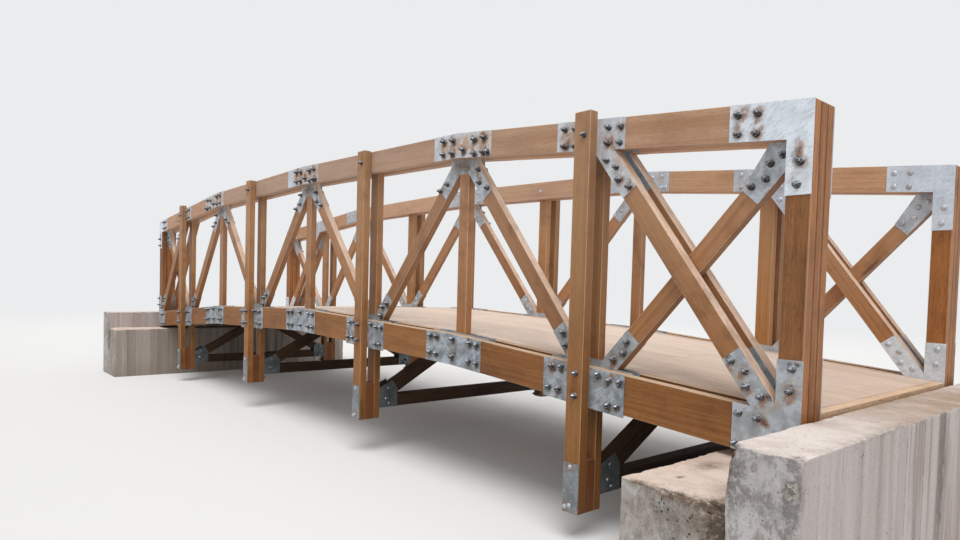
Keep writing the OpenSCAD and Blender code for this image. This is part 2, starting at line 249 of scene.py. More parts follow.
def of_mesh(tree, name, output="Fac"):
    """Values that the mesh carries at its points or faces."""
    return pick(tree, "Attribute", output=output, attribute_name=name, attribute_type="GEOMETRY")


def srgb(colour):
    """A colour in 8-bit screen values, as the linear one that a shader takes."""
    if isinstance(colour, Flow) or len(colour) == 4:
        return colour
    return tuple(c / 12.92 if c <= 0.04045 else ((c + 0.055) / 1.055) ** 2.4 for c in
                 (v / 255 for v in colour)) + (1,)


def layers(tone, *coats):
    """A colour with coats laid over it: for each the share that it covers, its colour, and how."""
    for share, colour, *how in coats:
        mix = share.tree.nodes.new("ShaderNodeMix")
        mix.data_type, mix.blend_type, mix.clamp_factor = "RGBA", how[0] if how else "MIX", True
        join(mix, {0: share, 6: srgb(tone), 7: srgb(colour)})
        tone = Flow(mix.outputs[2])
    return tone


def surface(made, tone, rough, height=None, distance=0.0, strength=1.0, **more):
    """Ends a material with its colour, its roughness and, where it has any, its fine relief."""
    tree = made.node_tree
    if height:
        more["Normal"] = pick(tree, "Bump", {"Height": height, "Distance": distance, "Strength": strength})
    paint = pick(tree, "BsdfPrincipled", {"Base Color": tone, "Roughness": rough,
                 **{key.replace("_", " "): value for key, value in more.items()}})
    node(tree, "OutputMaterial", {"Surface": paint})
    return made


cast_face, given = group("cast_concrete", Grain=1.0)
here, facing = where(cast_face), faced(cast_face)
top = facing[2].step(0.45, 0.8)
side = 1.0 - top
short_face = side * (1.0 - abs(facing[0]).step(0.45, 0.75))
streak = here.cloud((15.0, 15.0, 0.55), 5.0, 0.56)
broken = here.cloud((9.0, 9.0, 14.0), 4.0, 0.7).step(0.36, 0.6)
marks = of_mesh(cast_face, "marks", "Vector").parts()
ragged = here.cloud(38.0, 6.0, 0.68)
brown = (marks[0] * ragged.step(0.34, 0.60, 1.3, 0.25)).limited()
soot = (marks[1] * ragged.step(0.36, 0.60, 1.3)).limited()
coarse = (marks[2] * ragged.step(0.40, 0.56)).limited()
warp = pick(cast_face, "TexNoise", {"Vector": here, "Scale": 60.0, "Detail": 3.0}, "Color")
bent = pick(cast_face, "VectorMath", {0: here, 1: warp.times((0.016, 0.016, 0.016))}, operation="ADD")
stone = bent.cells(62.0)
gaps = marks[2] * stone.step(0.36, 0.20) * ragged.step(0.46, 0.54)
hole = here.cells(46.0).step(0.17, 0.10) * here.cloud(7.0).step(0.50, 0.60)
pin = here.cells(105.0).step(0.20, 0.12) * here.cloud((24.0, 24.0, 3.0)).step(0.50, 0.60)
hole = calc("MAXIMUM", hole, pin * 0.8)
speckle = here.cloud(170.0, 5.0, 0.8)
tall = streak * 0.30 + speckle * 0.22 - (hole + gaps) * 0.8 + (soot + brown) * (ragged * 0.9)
give(cast_face, Board=of_mesh(cast_face, "form") * side, Streak=streak * side,
     Joint=of_mesh(cast_face, "joint") * broken * side, Holes=hole, Cloud=here.cloud(4.1, 6.0, 0.64),
     Speckle=speckle, Top=top, Short=short_face, Stones=coarse * stone.step(0.62, 0.40), Gaps=gaps,
     Brown=brown, Soot=soot, Height=tall * given.Grain)


def concrete(name, pale, mid, short_pale, short_mid, dust, earth, stony):
    """Material of one casting, from the shared concrete face. Its coarse patches show pale stones,
    or dark gaps between them."""
    made, tree = blank(name)
    cast = use(tree, cast_face, Grain=1.0)
    here = where(tree)
    y, z = here.parts()[1:]
    worn_off = here.cloud((30.0, 30.0, 17.0), 6.0, 0.72)
    ends = layers(short_pale, (cast.Cloud.step(0.40, 0.60), short_mid),
                  (worn_off.step(0.50, 0.60, 0.58), (124, 117, 110)),
                  (worn_off.step(0.46, 0.34, 0.6), (204, 203, 206)))
    trod = abs(y).step(1.30, 0.15)
    dusty = layers(dust[0], (here.cloud(6.5, 6.0, 0.68).step(0.42, 0.64), dust[1]),
                   (trod * cast.Cloud.step(0.25, 0.6, 0.95, 0.35), (166, 139, 116)),
                   (here.cloud(3.3, 6.0, 0.7).step(0.60, 0.68, 0.55), (158, 126, 100)),
                   (here.cloud(8.0, 6.0, 0.72).step(0.50, 0.64, 0.62) * trod, (140, 114, 94)))
    far_along = y.step(-1.35, -0.2, 1.0, 0.30)
    runs = here.cloud((5.0, 5.0, 1.1), 5.0, 0.6).step(0.50, 0.64, 0.5)
    tone = layers(pale, (cast.Board * 0.85, mid),
                  (cast.Streak.step(0.49, 0.65, 0.72) * far_along, (130, 117, 106)),
                  (runs * far_along, (150, 134, 118)),
                  (cast.Streak.step(0.46, 0.34, 0.50), (206, 197, 192)),
                  (cast.Short, ends), (cast.Joint * 0.75, (108, 99, 92)), (cast.Top * 0.95, dusty),
                  ((cast.Cloud * 0.30 + z).step(0.42, 0.16, earth), (132, 116, 100)),
                  (cast.Soot * 0.70, (106, 102, 99)), (cast.Brown * 0.88, (94, 71, 51)),
                  (cast.Stones * stony, (204, 194, 184)), (cast.Gaps * (0.85 - stony), (74, 62, 50)),
                  (cast.Holes * 0.72, (86, 77, 70)), (cast.Speckle.step(0.48, 0.66, 0.34), (112, 104, 97)),
                  (cast.Speckle.step(0.46, 0.32, 0.30), (224, 216, 209)))
    return surface(made, tone, cast.Cloud.step(0.3, 0.7, 0.96, 0.84), cast.Height, 0.004, 0.85)


wall_cast = concrete("board_marked_wall", (202, 193, 191), (173, 164, 162), (198, 194, 195), (172, 168, 167),
                     ((236, 227, 222), (218, 205, 198)), 0.35, 0.85)
seat_cast = concrete("board_marked_seat", (186, 176, 169), (158, 147, 139), (184, 177, 172), (160, 152, 144),
                     ((232, 214, 202), (212, 191, 176)), 0.35, 0.0)


def lines(low, high, size, near=(0.004, 0.009, 0.016, 0.026), extra=()):
    """Places of the mesh lines between two ends, close together at both and at form joints."""
    inner = [low + d for d in near] + [high - d for d in near]
    count = max(1, round((high - low - 2 * near[-1]) / size))
    inner += [low + near[-1] + (high - low - 2 * near[-1]) * i / count for i in range(1, count)]
    for e in extra:
        inner = [v for v in inner if abs(v - e) > 0.008] + [e - 0.0045, e, e + 0.0045]
    return sorted([low, high] + inner)


def skin_of_box(axes):
    """Points and faces of a box with these mesh lines. Its underside is one face."""
    index, verts, faces = {}, [], []
    n = [len(a) - 1 for a in axes]

    def corner(*key):
        if key not in index:
            index[key] = len(verts)
            verts.append(Vector([axes[i][key[i]] for i in range(3)]))
        return index[key]

    for axis, at, turned in ((2, n[2], 1), (0, n[0], 1), (0, 0, -1), (1, 0, 1), (1, n[1], -1)):
        for i in range(n[0 if axis else 1]):
            for j in range(n[1 if axis == 2 else 2]):
                quad = []
                for key in ((i, j), (i + 1, j), (i + 1, j + 1), (i, j + 1)):
                    quad.append(corner(*key[:axis], at, *key[axis:]))
                faces.append(quad[::turned])
    under = [(i, 0) for i in range(n[0])] + [(n[0], j) for j in range(n[1])]
    under += [(i, n[1]) for i in range(n[0], 0, -1)] + [(0, j) for j in range(n[1], 0, -1)]
    faces.append([corner(i, j, 0) for i, j in reversed(under)])
    return verts, faces


def cast_block(low, high, seed, wear, boards, hollow, stains):
    """Skin of one cast block: worn arrises, form boards on its long faces, and hollows where the
    edge has broken away. Everything is taken inward from the block's true size. Boards are the
    joints along Y, each with how dark and how deep the board after it is."""
    joints = [b[0] for b in boards if low[1] + 0.04 < b[0] < high[1] - 0.04]
    verts, faces = skin_of_box([
        lines(low[0], high[0], 0.016),
        lines(low[1], high[1], 0.022, (0.004, 0.009, 0.016, 0.026, 0.038, 0.05), joints),
        lines(low[2], high[2], 0.020)])
    values = {"form": [], "joint": [], "marks": []}
    shift = Vector((seed * 7.3, 0, 0))

    def away(here, centre, size):
        """How far a point is from the middle of a patch, in sizes of the patch."""
        return Vector([(here[i] - centre[i]) / size[i] for i in range(3)]).length

    for v in verts:
        here = Vector(v)
        rag = noise.noise(here * 7 + shift) + 0.7 * noise.noise(here * 34 + shift)
        r = wear[0] + wear[1] * max(0.0, rag)
        core = Vector([min(max(here[i], low[i] + r), high[i] - r) for i in range(3)])
        if here.z < 0.06:
            core.z = here.z
        out = here - core
        if out.length > r:
            v.xyz = core + out.normalized() * r
        form, deep = next(((b[1], b[2]) for b in reversed(boards) if here.y > b[0] + 1e-6), (0.4, 0.001))
        for face_x, way in ((low[0], 1), (high[0], -1)):
            if abs(here.x - face_x) < 1e-6 and low[1] < here.y < high[1]:
                v.x += way * deep * min(1.0, (high[2] - here.z) / 0.02)
        if abs(here.z - high[2]) < 1e-6:
            v.z -= 0.0035 * (0.5 + 0.5 * noise.noise(here * 5 + shift)) * (1 if out.length < r else 0.4)
        bite = 0.0
        for centre, size, depth in hollow:
            d = away(here, centre, size)
            d += 0.42 * noise.noise(here * 11 + shift) + 0.2 * noise.noise(here * 37 + shift)
            share = min(max(1.15 - d, 0.0), 1.0)
            bite = max(bite, share * share * (3 - 2 * share) * depth)
        if bite:
            push = Vector((0, math.copysign(1, (low[1] + high[1]) / 2 - here.y), 0))
            if abs(here.z - high[2]) < 0.03:
                push.z = -0.75
            v.xyz += push * bite * (0.7 + 0.5 * noise.noise(here * 45 + shift))
        mark = [min(1.0, bite / 0.03), 0.0, 0.0]
        for centre, size, which, strength in stains:
            d = away(here, centre, size) + 0.35 * noise.noise(here * 13 + shift)
            mark[which] = max(mark[which], strength * min(max(1.3 - d, 0.0), 1.0))
        values["form"].append(form)
        values["joint"].append(1.0 if any(abs(here.y - e) < 1e-5 for e in joints) else 0.0)
        values["marks"].append(mark)
    return verts, faces, values


def show(name, co, faces, values, material, cads, smooth=False):
    """One shown piece, from its points and faces and the values that its material reads there."""
    mesh = bpy.data.meshes.new(name)
    mesh.from_pydata(co, [], faces)
    for (domain, key), found in values.items():
        found = np.asarray(found, np.float32)
        kind, label = ("FLOAT_VECTOR", "vector") if found.ndim == 2 else ("FLOAT", "value")
        mesh.attributes.new(key, kind, domain).data.foreach_set(label, found.ravel())
    mesh.materials.append(material)
    if smooth:
        mesh.polygons.foreach_set("use_smooth", [True] * len(faces))
    made = bpy.data.objects.new(name, mesh)
    place(made)
    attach(made, "root")
    if cads:
        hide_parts(*cads)


def cast_piece(name, cad, material, wear, boards, hollows, stains):
    """Both blocks of a CAD node, cast as one piece."""
    verts, faces, values = [], [], {}
    low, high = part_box(cad)
    inner = min(abs(v.co.x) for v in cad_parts[cad].data.vertices)
    for s in (-1, 1):
        x = sorted((s * inner, s * high.x))
        v, f, found = cast_block((x[0], low.y, low.z), (x[1], high.y, high.z), s * len(name), wear, boards[s],
                                 hollows[s], stains[s])
        faces += [[i + len(verts) for i in q] for q in f]
        verts += v
        for key, part in found.items():
            values.setdefault(("POINT", key), []).extend(part)
    show(name, verts, faces, values, material, [cad], smooth=True)


def form_boards(seed, start=-1.60, end=1.60, known=()):
    """Joints of the form boards from one end to the other: known ones, then boards of any width."""
    chance, made, at = random.Random(seed), list(known), known[-1][0] if known else start
    while at < end:
        at += chance.choice((0.045, 0.07, 0.09, 0.12, 0.15, 0.18))
        made.append((at, chance.random(), chance.choice((0.0002, 0.0012, 0.0024, 0.0036))))
    return made


near_wall = ((-1.4805, 0.15, 0.0012), (-1.303, 0.10, 0.0022), (-1.147, 0.30, 0.0006), (-0.989, 0.20, 0.0020),
             (-0.790, 0.55, 0.0030), (-0.698, 0.15, 0.0008), (-0.575, 0.60, 0.0030), (-0.493, 0.25, 0.0008),
             (-0.294, 1.0, 0.0060), (-0.231, 0.15, 0.0004), (-0.083, 0.85, 0.0040))
# Hollows have a middle, a size and a depth; stains a middle, a size, which stain (brown 0, soot 1,
# stones laid bare 2) and a strength. 1 is the end at +X, -1 the other.
seat_hollows = {
    1: [((4.262, -1.60, 0.50), (0.085, 0.07, 0.20), 0.070),
        ((4.13, -1.60, 0.602), (0.15, 0.035, 0.030), 0.028),
        ((3.93, -1.60, 0.602), (0.05, 0.02, 0.014), 0.010),
        ((4.05, 1.60, 0.59), (0.12, 0.05, 0.05), 0.02)],
    -1: [((-4.20, -1.60, 0.55), (0.10, 0.05, 0.10), 0.028),
         ((-3.95, 1.60, 0.57), (0.2, 0.05, 0.06), 0.03)]}
seat_stains = {
    1: [((4.270, -1.60, 0.45), (0.085, 0.10, 0.26), 0, 1.3),
        ((4.13, -1.60, 0.578), (0.15, 0.045, 0.024), 0, 1.1),
        ((4.06, -1.60, 0.53), (0.07, 0.03, 0.08), 2, 1.3),
        ((4.14, -1.60, 0.46), (0.09, 0.03, 0.09), 2, 1.3),
        ((3.945, -1.60, 0.590), (0.04, 0.03, 0.012), 0, 1.3),
        ((4.012, -1.42, 0.60), (0.010, 0.02, 0.02), 0, 1.3),
        ((3.99, -1.20, 0.60), (0.05, 0.12, 0.03), 0, 0.55),
        ((4.09, -1.60, 0.47), (0.06, 0.03, 0.16), 1, 0.55)],
    -1: [((-4.20, -1.60, 0.50), (0.09, 0.06, 0.2), 0, 0.8),
         ((-3.95, 1.60, 0.57), (0.2, 0.05, 0.08), 0, 0.7)]}
wall_hollows = {
    1: [((4.492, -1.60, 0.700), (0.022, 0.03, 0.045), 0.008),
        ((4.46, -0.9, 0.79), (0.03, 0.10, 0.02), 0.006),
        ((4.270, -1.60, 0.800), (0.040, 0.06, 0.070), 0.050),
        ((4.270, -1.60, 0.700), (0.030, 0.04, 0.10), 0.018),
        ((4.515, -1.60, 0.800), (0.040, 0.04, 0.030), 0.014),
        ((4.44, 1.60, 0.76), (0.06, 0.05, 0.05), 0.02)],
    -1: [((-4.40, -1.60, 0.74), (0.07, 0.04, 0.07), 0.02),
         ((-4.45, 1.60, 0.30), (0.06, 0.05, 0.12), 0.02)]}
wall_stains = {
    1: [((4.480, -1.60, 0.700), (0.022, 0.03, 0.045), 2, 1.3),
        ((4.482, -1.60, 0.66), (0.032, 0.04, 0.20), 1, 1.1),
        ((4.305, -1.60, 0.68), (0.045, 0.05, 0.11), 1, 1.1),
        ((4.40, -1.60, 0.62), (0.05, 0.05, 0.05), 1, 0.7),
        ((4.36, -1.60, 0.78), (0.12, 0.02, 0.02), 1, 0.6),
        ((4.515, -0.26, 0.52), (0.02, 0.045, 0.30), 1, 0.7),
        ((4.515, -0.95, 0.792), (0.03, 0.45, 0.008), 1, 0.6)],
    -1: [((-4.31, -1.60, 0.6), (0.05, 0.05, 0.2), 1, 0.8),
         ((-4.48, 1.60, 0.5), (0.05, 0.05, 0.2), 1, 0.8)]}
cast_piece("seat_blocks", "abutment_seats", seat_cast, (0.007, 0.024),
           {1: form_boards(5), -1: form_boards(6)}, seat_hollows, seat_stains)
cast_piece("back_walls", "abutment_walls", wall_cast, (0.008, 0.016),
           {1: form_boards(7, known=near_wall), -1: form_boards(8)}, wall_hollows, wall_stains)

# Bearing pads: four black rubber strips, cut to length and laid loose between the truss ends and
# the seats. They are dusty where they show.
rubber, tree = blank("bearing_rubber")
here = where(tree)
dust = here.cloud(28.0, 4.0, 0.6).step(0.42, 0.68)
surface(rubber, layers((44, 43, 42), (dust, (92, 86, 78))), dust.step(0.0, 1.0, 0.9, 0.55),
        here.cloud(350.0), 0.0006)
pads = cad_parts["bearing_pads"]
pads.data.materials.clear()
pads.data.materials.append(rubber)

# Frame under the deck: sawn floor beams on the hanging posts, joists, ties and raking braces of
# the sway frames. Damp and shade have turned this timber dark.
saw_edge = 0.0025


def solids(cad):
    """The separate solids of a CAD node as clean meshes, in a fixed order."""
    whole = bmesh.new()
    whole.from_mesh(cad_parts[cad].data)
    bmesh.ops.remove_doubles(whole, verts=whole.verts, dist=2e-5)
    bmesh.ops.dissolve_limit(whole, angle_limit=0.01, verts=whole.verts, edges=whole.edges)
    whole.faces.index_update()
    whole.verts.index_update()
    done, found = set(), []
    for first in whole.faces:
        if first.index in done:
            continue
        done.add(first.index)
        part, grow = [first], [first]
        while grow:
            for edge in grow.pop().edges:
                for f in edge.link_faces:
                    if f.index not in done:
                        done.add(f.index)
                        part.append(f)
                        grow.append(f)
        bm, made = bmesh.new(), {}
        for f in part:
            for v in f.verts:
                if v.index not in made:
                    made[v.index] = bm.verts.new(v.co)
            bm.faces.new([made[v.index] for v in f.verts])
        found.append(bm)
    whole.free()
    found.sort(key=lambda b: [round(sum(v.co[i] for v in b.verts) / len(b.verts), 3) for i in range(3)])
    return found


def lie(bm):
    """Middle of a solid, and its directions along, across and through."""
    bm.normal_update()
    mid = sum((v.co for v in bm.verts), Vector()) / len(bm.verts)
    longest = max(bm.edges, key=lambda e: (round(e.calc_length(), 4), e.verts[0].co.x + e.verts[1].co.z * 3))
    along = (longest.verts[1].co - longest.verts[0].co).normalized()
    along = -along if (along.x, along.y, along.z) < (0, 0, 0) else along
    wide = [f for f in bm.faces if abs(f.normal.dot(along)) < 0.2]
    through = max(wide, key=lambda f: round(f.calc_area(), 5)).normal.normalized()
    through = -through if (through.x, through.y, through.z) < (0, 0, 0) else through
    through = (through - along * through.dot(along)).normalized()
    return mid, along, through.cross(along).normalized(), through


def chop(bm, mid, way, size):
    """Extra mesh lines at even distances along one direction."""
    reach = [(v.co - mid).dot(way) for v in bm.verts]
    count = int((max(reach) - min(reach)) / size)
    for i in range(1, count + 1):
        at = min(reach) + (max(reach) - min(reach)) * i / (count + 1)
        bmesh.ops.bisect_plane(bm, geom=bm.verts[:] + bm.edges[:] + bm.faces[:], dist=1e-6,
                               plane_co=mid + way * at, plane_no=way)


def ease(bm, size, rings=2):
    """Every sharp edge of a solid planed off or worn round."""
    sharp = [e for e in bm.edges if len(e.link_faces) == 2 and e.calc_face_angle(0) > 0.35]
    bmesh.ops.bevel(bm, geom=sharp, offset=size, segments=rings, profile=0.5, affect="EDGES",
                    clamp_overlap=True)


def assemble(name, parts, material, cads, smooth=False):
    """Joins finished solids into one shown piece. Each part is a mesh with values for its points
    and for its faces; the values become attributes that the material reads."""
    co, faces, values = [], [], {}
    for bm, *found in parts:
        bm.verts.index_update()
        start = len(co)
        co += [v.co.copy() for v in bm.verts]
        faces += [[v.index + start for v in f.verts] for f in bm.faces]
        for domain, part in zip(("POINT", "FACE"), found):
            for key, value in part.items():
                values.setdefault((domain, key), []).append(np.asarray(value, np.float32))
        bm.free()
    values = {key: np.concatenate(part) for key, part in values.items()}
    show(name, co, faces, values, material, cads, smooth)


def board(bm, chance, edge, fine=0.0, marks=None, seams=()):
    """A board cut from its own log: grain coordinates along, across and through it, its own tone,
    which faces are end grain, which are its eased edges or a seam to the next board, and where
    bolts have stained it."""
    mid, along, across, through = lie(bm)
    if fine:
        chop(bm, mid, along, fine)
        chop(bm, mid, across, fine)
    ease(bm, edge)
    bm.normal_update()
    log = Vector([chance.uniform(-40, 40) for _ in range(3)])
    co = np.array([v.co for v in bm.verts]) - np.array(mid)
    axes = np.array([along, across, through])
    grain = co @ axes.T
    grain[:, 0] += log.x
    tilt = chance.uniform(-0.02, 0.02)
    grain[:, 1] += tilt * co @ axes[0]
    per_point = {"grain": grain, "log": np.tile([log.y, log.z, chance.random()], (len(co), 1)),
                 "stain": marks(co + np.array(mid)) if marks else np.zeros((len(co), 3))}
    cut, rim = [], []
    for f in bm.faces:
        turned = [abs(f.normal.dot(way)) for way in (along, across, through)]
        cut.append(turned[0] > 0.7)
        eased = turned[0] < 0.3 and max(turned) < 0.97
        joined = any(abs(abs(f.calc_center_median().y) - y) < 0.007 for y in seams)
        rim.append((-1.0 if joined else 1.0) if eased else 0.0)
    return bm, per_point, {"cut": cut, "rim": rim}


# Grain shared by all the timber: growth rings, fibres, pores and a few knots of a sawn board.
figure, given = group("timber_figure", Rings=90.0, Waver=0.03)
grain = of_mesh(figure, "grain", "Vector")
rim = of_mesh(figure, "rim")
along, across, through = grain.parts()
own = of_mesh(figure, "log", "Vector").parts()
sway = grain.cloud((0.9, 7.0, 7.0), 2.0, 0.5)
pith_y = calc("SINE", own[0]) * 0.10 + across
pith_z = through + (calc("COSINE", own[1]) * 0.03 + 0.085)
depth = calc("SQRT", pith_y * pith_y + pith_z * pith_z) + (sway - 0.5) * given.Waver
bands = pick(figure, "CombineXYZ", {0: depth * given.Rings, 1: own[1], 2: along * 0.12}).cloud(1.0, 2.0, 0.6)
threads = grain.cloud((6.0, 150.0, 150.0), 5.0, 0.7)
flecks = grain.cloud((34.0, 300.0, 300.0), 3.0, 0.7)
pores = grain.cloud((46.0, 760.0, 760.0), 1.0, 0.5).step(0.58, 0.70)
patch = grain.cloud((1.6, 6.0, 6.0), 4.0, 0.6)
# the seam mask marks eased faces where two boards meet, which the timber darkens as painted shade in the
# groove
give(figure, Rings=bands, Fibre=threads, Fleck=flecks, Pores=pores,
     Knots=grain.times((0.9, 5.5, 5.5)).cells(1.0).step(0.085, 0.035), Patch=patch, Tone=own[2],
     # the worn mask lightens eased edges: partly wear, partly a painted highlight on the arris
     End=of_mesh(figure, "cut"), Worn=(patch * 0.8 + rim).step(1.15, 1.45), Seam=rim.step(-0.3, -0.8),
     Height=flecks * 0.3 + (threads * 0.5 + bands * 0.25) - pores * 0.35)

# Weather shared by timber: bleached upper faces, and dirt that gathers in patches and low down.
# It also gives a mask of faces turned along the bridge, which the end posts use for painted light.
# Inner is 1 on faces turned to the walkway, which some timbers draw lighter and warmer; Middle is 1 near mid
# span.
weather, given = group("weather", Bleach=1.0, Dirt=0.4)
here, facing = where(weather), faced(weather)
x, y, z = here.parts()
uneven = here.cloud((2.0, 9.0, 9.0), 4.0, 0.6).step(0.25, 0.6, 1.0, 0.65)
grime = here.cloud(4.5, 6.0, 0.62).step(0.50, 0.72)
give(weather, Bleach=facing[2].step(0.15, 0.65) * uneven * given.Bleach, Dirt=grime * given.Dirt,
     Damp=(grime * -0.08 + z).step(0.62, 0.15), High=(grime * -0.15 + z).step(0.55, 2.1),
     Inner=(facing[1] * calc("SIGN", y)).step(-0.3, -0.7), Gable=abs(facing[0]).step(0.6, 0.9),
     Middle=abs(x).step(3.4, 1.2))


def shade(colour, by):
    """A colour made darker or lighter."""
    return tuple(min(1.0, c * by) for c in srgb(colour)[:3]) + (1,)


def timber(name, light, mid, dark, bleached, rings=90.0, waver=0.03, bleach=1.0, dirt=0.35, damp=0.35,
           gloss=(0.42, 0.62), relief=0.0008, drawn=0.42, trodden=0.0, faded=0.0, middle=0.0,
           inner_lift=1.0, painted_light_along=1.0):
    """Material of one kind of timber on the bridge, from the shared grain and weather."""
    made, tree = blank(name)
    wood = use(tree, figure, Rings=rings, Waver=waver)
    sky_side = use(tree, weather, Bleach=bleach, Dirt=dirt)
    mark = of_mesh(tree, "stain", "Vector").parts()
    tone = layers(light, (wood.Rings.step(0.30, 0.70), mid), (wood.Fibre.step(0.46, 0.72, drawn), dark),
                  (wood.Fleck.step(0.48, 0.72, drawn), dark), (wood.Fleck.step(0.46, 0.28, 0.35), light),
                  (wood.Patch.step(0.46, 0.72, 0.42), dark), (wood.Pores * 0.30, shade(dark, 0.45)),
                  (wood.Knots * 0.7, shade(dark, 0.35)))
    tint = wood.Tone.step(0.0, 1.0, 1.14, 0.84)
    tone = tone.times(pick(tree, "CombineXYZ", {0: tint, 1: tint, 2: tint}))
    # faces turned to the walkway are drawn lighter and warmer
    inner_tone = tone.times((inner_lift, 1 + (inner_lift - 1) * 0.8, 1 + (inner_lift - 1) * 0.3))
    tone = layers(tone, (sky_side.Inner, inner_tone))
    grey = layers(bleached, (wood.Fibre.step(0.40, 0.72, 0.5), mid), (wood.Fleck.step(0.50, 0.72, 0.4), mid))
    # the first coat makes faces turned along the bridge lighter: painted light
    tone = layers(tone, (sky_side.Gable, tone.times((painted_light_along,) * 3)), (sky_side.High * faded, bleached),
                  # eased edges go toward the bleached colour: partly wear, partly a painted highlight
                  (sky_side.Middle * middle, (180, 160, 148)), (wood.Worn * 0.40, bleached),
                  (sky_side.Bleach, grey), (sky_side.Dirt, shade(dark, 0.55)),
                  (sky_side.Damp * damp, shade(dark, 0.7)))
    if trodden:
        here = where(tree)
        reach = here.cloud(3.0, 5.0, 0.6) * 1.6 + abs(here.parts()[0])
        tone = layers(tone, (reach.step(3.1, 5.2, trodden), dark))
    # the last coat darkens eased faces where two boards meet: painted shade in the groove
    tone = layers(tone, (wood.End * 0.35, shade(dark, 0.55)), (mark[2] * 0.55, (122, 58, 30)),
                  (mark[1] * 0.7, (52, 34, 24)), (mark[0] * 0.45, (70, 40, 24)),
                  (wood.Seam * 0.36, (82, 54, 36)))
    rough = (sky_side.Bleach * 0.2 + wood.Fibre.step(0.3, 0.7, gloss[1], gloss[0])).limited()
    return surface(made, tone, rough, wood.Height, relief, 0.7, Specular_IOR_Level=0.3)


sawn = timber("damp_sawn_timber", (92, 66, 45), (74, 52, 35), (50, 35, 24), (104, 82, 64),
              rings=70.0, bleach=0.5, dirt=0.7, damp=0.5, gloss=(0.62, 0.85), relief=0.0018)
for number, cad in enumerate(("floor_beams", "joists", "sway_ties", "sway_braces")):
    chance = random.Random(40 + number)
    assemble(cad + "_sawn", [board(bm, chance, saw_edge) for bm in solids(cad)], sawn, [cad])

# Through bolts: where each one sits, along the chords and along the legs of the plates. Every
# list gives X, Z and the faces of the truss (distance in from its outer face) that the nut and
# the domed head bear on. Both ends and both trusses have the same pattern.
half_len, inner_post, outer_post, quarter = 4.240, 1.060, 3.160, 2.110
half_w, post_len, ply = 0.984, 0.735, 0.058
# nut and head on the outer plates, on the gussets in the core, and on the tails' plates; then the
# outer face of a post, and the bare timber behind the inner posts
on_plates, on_gussets, on_tails = (-0.004, 0.178), (ply, 2 * ply), (-0.063, 0.112)
on_post, behind_post = -0.059, 0.174
low_line = ((0.0, 1.026), (quarter, 0.961), (half_len, 0.800))
high_line = ((0.0, 2.238), (quarter, 2.195), (half_len, 2.000))


def height(line, x):
    """Height of a chord's top edge at x."""
    return float(np.interp(abs(x), [p[0] for p in line], [p[1] for p in line]))


def leg_bolts(p, q, places):
    """Bolts along a leg from node p toward node q, each a distance along and a step aside."""
    p, q = Vector(p), Vector(q)
    d = (q - p).normalized()
    return [(*(p + d * s + Vector((-d.y, d.x)) * o), *on_gussets) for s, o in places]


posts = (-outer_post, -inner_post, inner_post, outer_post)
uprights = (-quarter, 0.0, quarter)
foot = {x: (x, height(low_line, x) - 0.095) for x in posts}
apex = {x: (x, height(high_line, x) - 0.112) for x in uprights}
chord_bolts, leg_only, post_bolts, tail_bolts = [], [], [], []
for x in uprights:
    way = math.copysign(1, x)
    for dx in (-0.220, -0.153, 0.009, 0.172, 0.241):
        at = x + way * dx
        chord_bolts += [(at, height(low_line, at) - r, *on_plates) for r in (0.026, 0.135)]
    for dx, rows in ((-0.132, (0.036, 0.116)), (-0.040, (0.040, 0.118)), (0.064, (0.102,)),
                     (0.166, (0.046, 0.128)), (0.250, (0.038, 0.124)), (0.286, (0.122,))):
        at = x + way * dx * (1.0 if x else 0.82)
        chord_bolts += [(at, height(high_line, at) - r, *on_plates) for r in rows]
for x in posts:
    way, rail_z, deck_z = math.copysign(1, x), height(high_line, x), height(low_line, x)
    for dx, r in ((-0.199, 0.036), (-0.135, 0.029), (-0.078, 0.032), (-0.219, 0.150), (-0.151, 0.146),
                  (0.105, 0.023), (0.176, 0.038), (0.238, 0.034), (0.172, 0.158), (0.226, 0.155)):
        at = x + way * dx
        chord_bolts.append((at, height(low_line, at) - r, *on_plates))
    post_bolts += [(x + 0.008, deck_z - 0.035, on_post, on_plates[1]),
                   (x + 0.006, deck_z - 0.147, on_post, on_plates[1]),
                   (x + 0.014, rail_z - 0.084, on_post,
                    on_plates[1] if abs(x) == outer_post else behind_post)]
    tail_bolts += [(x + dx, deck_z - post_len + rise, *on_tails)
                   for dx, rise in ((-0.006, 0.229), (-0.034, 0.024), (-0.006, 0.036))]
    for s in (-1, 1):
        if abs(x + s) > outer_post:
            leg_only += [(s * px, pz, *on_gussets) for px, pz in
                         ((3.385, 1.017), (3.370, 0.963), (3.308, 0.927), (3.976, 1.701), (4.037, 1.727),
                          (4.053, 1.786), (4.100, 1.816))]
        else:
            up_x = 0.0 if abs(x) < quarter and x * s < 0 else math.copysign(quarter, x)
            ends = (foot[x], apex[up_x])
            leg_only += leg_bolts(*ends, ((0.190, -0.014), (0.248, 0.016), (0.308, -0.012)))
            steps = ((0.239, -0.002), (0.313, -0.032))
            if up_x == 0 or abs(x) > quarter:
                steps = ((0.178, 0.036), (0.247, -0.005), (0.325, 0.030))
            leg_only += leg_bolts(*ends[::-1], [(d, way * o) for d, o in steps])
for s in (-1, 1):
    for x, z in ((3.275, 1.886), (3.333, 1.848), (3.351, 1.785), (3.413, 1.747), (3.953, 0.988),
                 (4.013, 0.952), (4.020, 0.890), (4.083, 0.859), (3.993, 0.781), (4.071, 0.772),
                 (3.981, 0.656), (4.060, 0.650), (4.199, 0.981), (4.195, 0.897), (3.940, 1.984),
                 (4.023, 1.979), (3.941, 1.908), (4.019, 1.900), (4.196, 1.768), (4.187, 1.683),
                 (3.000, 2.075), (3.071, 2.066), (3.000, 1.989), (3.072, 1.979), (3.280, 2.042),
                 (3.354, 2.035), (3.278, 1.967), (3.349, 1.961)):
        chord_bolts.append((s * x, z, *on_plates))
